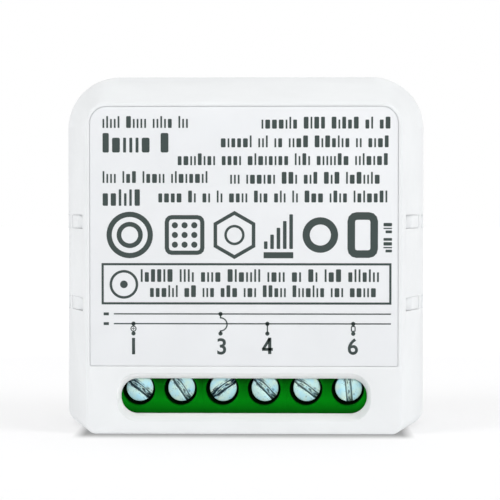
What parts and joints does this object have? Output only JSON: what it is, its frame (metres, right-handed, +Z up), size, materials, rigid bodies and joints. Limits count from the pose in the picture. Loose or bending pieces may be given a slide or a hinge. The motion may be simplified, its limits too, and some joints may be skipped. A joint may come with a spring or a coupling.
{
  "type": "switch control unit",
  "caption": "Small square smart switch module with a flared white clip-together case, a label face and a row of recessed screw terminals.",
  "frame": {"origin": "on the ground under the middle of the case, which stands on its wire side", "axes": "+Z up, +X to the right, the labelled face looks along -Y"},
  "size_m": [0.044, 0.021, 0.043],
  "materials": {
    "case_white": "fine satin, moulded",
    "label_film": "printed film, satin",
    "terminal_green": "moulded, glossy",
    "screw_zinc": "zinc plated, scuffed by the driver",
    "plated_steel": "tin plated",
    "contact_brass": "stamped",
    "soft_iron": "nickel plated iron",
    "copper_wire": "enamelled copper",
    "board_green": "solder resist",
    "board_dark": "solder resist",
    "chip_black": "moulded",
    "relay_shell": "moulded",
    "capacitor_sleeve": "shrink sleeve",
    "film_yellow": "moulded box",
    "varistor_blue": "dipped coating",
    "fuse_grey": "lacquered",
    "ferrite": "sintered",
    "winding_tape": "polyester tape",
    "lamp_clear": "clear moulded"
  },
  "bodies": {
    "case": {"front_cover": "case_white", "rear_base": "case_white", "label": "label_film", "main_board": "board_green", "terminal_block_1": "terminal_green", "terminal_block_2": "terminal_green", "terminal_block_3": "terminal_green", "contact_bar_1": "contact_brass", "contact_bar_2": "contact_brass", "contact_bar_3": "contact_brass", "contact_bar_4": "contact_brass", "contact_bar_5": "contact_brass", "contact_bar_6": "contact_brass", "switch_body": "chip_black", "status_lamp": "lamp_clear", "relay_case": "relay_shell", "relay_base": "chip_black", "relay_bobbin": "chip_black", "relay_winding": "copper_wire", "relay_core": "soft_iron", "relay_yoke": "soft_iron", "fixed_contact": "contact_brass", "mains_capacitor": "capacitor_sleeve", "output_capacitor": "capacitor_sleeve", "film_capacitor": "film_yellow", "varistor": "varistor_blue", "fuse_resistor": "fuse_grey", "bridge_rectifier": "chip_black", "filter_choke": "ferrite", "transformer_core": "ferrite", "transformer_bobbin": "chip_black", "transformer_winding": "winding_tape", "radio_board": "board_dark", "header_strip": "chip_black", "header_beads": "plated_steel", "radio_shield": "plated_steel", "control_chip": "chip_black", "receiver_chip": "chip_black", "crystal_can": "plated_steel", "small_chips": "chip_black", "aerial_wire": "copper_wire", "light_pipe": "lamp_clear"},
    "screw_1": {"terminal_screw_1": "screw_zinc"},
    "cage_1": {"clamp_cage_1": "plated_steel"},
    "screw_2": {"terminal_screw_2": "screw_zinc"},
    "cage_2": {"clamp_cage_2": "plated_steel"},
    "screw_3": {"terminal_screw_3": "screw_zinc"},
    "cage_3": {"clamp_cage_3": "plated_steel"},
    "screw_4": {"terminal_screw_4": "screw_zinc"},
    "cage_4": {"clamp_cage_4": "plated_steel"},
    "screw_5": {"terminal_screw_5": "screw_zinc"},
    "cage_5": {"clamp_cage_5": "plated_steel"},
    "screw_6": {"terminal_screw_6": "screw_zinc"},
    "cage_6": {"clamp_cage_6": "plated_steel"},
    "button": {"pairing_button": "case_white"},
    "plunger": {"switch_plunger": "chip_black"},
    "armature": {"relay_armature": "soft_iron", "contact_blade": "contact_brass"}
  },
  "joints": [
    {"name": "screw_turn_1", "type": "hinge", "parent": "case", "child": "screw_1", "pos_m": [-0.0125, 0, 0.0053], "axis": [0, 1, 0], "range_deg": [0, 1080]},
    {"name": "cage_rise_1", "type": "slide", "parent": "case", "child": "cage_1", "axis": [0, -1, 0], "range_m": [0, 0.0015]},
    {"name": "screw_turn_2", "type": "hinge", "parent": "case", "child": "screw_2", "pos_m": [-0.0075, 0, 0.0053], "axis": [0, 1, 0], "range_deg": [0, 1080]},
    {"name": "cage_rise_2", "type": "slide", "parent": "case", "child": "cage_2", "axis": [0, -1, 0], "range_m": [0, 0.0015]},
    {"name": "screw_turn_3", "type": "hinge", "parent": "case", "child": "screw_3", "pos_m": [-0.0025, 0, 0.0053], "axis": [0, 1, 0], "range_deg": [0, 1080]},
    {"name": "cage_rise_3", "type": "slide", "parent": "case", "child": "cage_3", "axis": [0, -1, 0], "range_m": [0, 0.0015]},
    {"name": "screw_turn_4", "type": "hinge", "parent": "case", "child": "screw_4", "pos_m": [0.0025, 0, 0.0053], "axis": [0, 1, 0], "range_deg": [0, 1080]},
    {"name": "cage_rise_4", "type": "slide", "parent": "case", "child": "cage_4", "axis": [0, -1, 0], "range_m": [0, 0.0015]},
    {"name": "screw_turn_5", "type": "hinge", "parent": "case", "child": "screw_5", "pos_m": [0.0075, 0, 0.0053], "axis": [0, 1, 0], "range_deg": [0, 1080]},
    {"name": "cage_rise_5", "type": "slide", "parent": "case", "child": "cage_5", "axis": [0, -1, 0], "range_m": [0, 0.0015]},
    {"name": "screw_turn_6", "type": "hinge", "parent": "case", "child": "screw_6", "pos_m": [0.0125, 0, 0.0053], "axis": [0, 1, 0], "range_deg": [0, 1080]},
    {"name": "cage_rise_6", "type": "slide", "parent": "case", "child": "cage_6", "axis": [0, -1, 0], "range_m": [0, 0.0015]},
    {"name": "button_press", "type": "slide", "parent": "case", "child": "button", "axis": [0, -1, 0], "range_m": [0, 0.0004], "stiffness_N_per_m": 60, "springref_m": -0.0003},
    {"name": "plunger_press", "type": "slide", "parent": "case", "child": "plunger", "axis": [0, -1, 0], "range_m": [0, 0.0004]},
    {"name": "armature_rock", "type": "hinge", "parent": "case", "child": "armature", "pos_m": [-0.00355, -0.0032, 0.0188], "axis": [0, 1, 0], "range_deg": [0, 3], "stiffness_Nm_per_rad": 0.001, "springref_deg": -2.86}
  ],
  "couplings": [
    {"joint": "screw_turn_1", "follows": "cage_rise_1", "rad_per_m": 12566},
    {"joint": "screw_turn_2", "follows": "cage_rise_2", "rad_per_m": 12566},
    {"joint": "screw_turn_3", "follows": "cage_rise_3", "rad_per_m": 12566},
    {"joint": "screw_turn_4", "follows": "cage_rise_4", "rad_per_m": 12566},
    {"joint": "screw_turn_5", "follows": "cage_rise_5", "rad_per_m": 12566},
    {"joint": "screw_turn_6", "follows": "cage_rise_6", "rad_per_m": 12566},
    {"joint": "plunger_press", "follows": "button_press", "ratio": 1}
  ]
}
